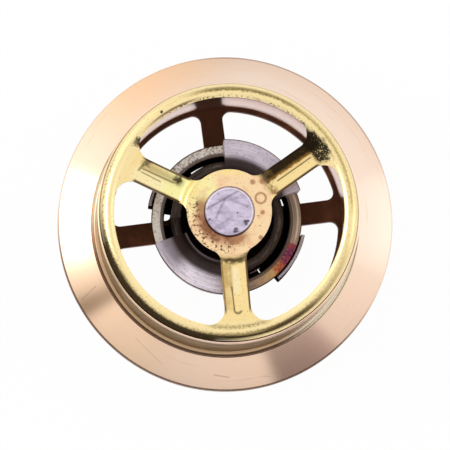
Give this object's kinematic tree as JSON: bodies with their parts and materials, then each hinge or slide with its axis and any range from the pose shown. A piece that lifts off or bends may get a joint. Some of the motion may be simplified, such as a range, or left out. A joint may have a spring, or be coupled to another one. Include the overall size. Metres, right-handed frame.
{
  "type": "compressor thermostatic valve element",
  "caption": "Oil temperature valve element of an air compressor: flanged bronze sleeve, sliding brass spider cap on a steel rod, wax capsule and return spring in a steel cage",
  "frame": {"origin": "centre of the flat foot of the wax capsule", "axes": "+Z along the valve's axis, from the capsule's foot through the seat flange to the brass cap; +X and +Y are the picture's right and up"},
  "size_m": [0.066, 0.066, 0.0613],
  "materials": {
    "bronze": "turned",
    "dark_bronze": "oxidised",
    "brass": "pressed",
    "copper": "satin",
    "steel": "brushed",
    "spring_steel": "satin",
    "rubber": "matte",
    "wax": "matte"
  },
  "bodies": {
    "sleeve": {"valve_sleeve": "bronze", "web_plate": "dark_bronze", "cage_clip": "steel", "spring_cage": "steel", "wax_cup": "copper", "wax_charge": "wax", "rubber_plug": "rubber", "pressure_disc": "steel", "guide_bush": "brass", "rod_seal": "rubber", "cup_clip": "spring_steel", "return_spring": "spring_steel"},
    "cap": {"spider_cap": "brass", "push_rod": "steel", "spring_collar": "steel", "rod_ring": "spring_steel", "hub_washer": "steel"}
  },
  "joints": [
    {"name": "cap_lift", "type": "slide", "parent": "sleeve", "child": "cap", "axis": [0, 0, 1], "range_m": [0, 0.006], "stiffness_N_per_m": 800, "springref_m": -0.004, "deforming": ["return_spring"]}
  ]
}
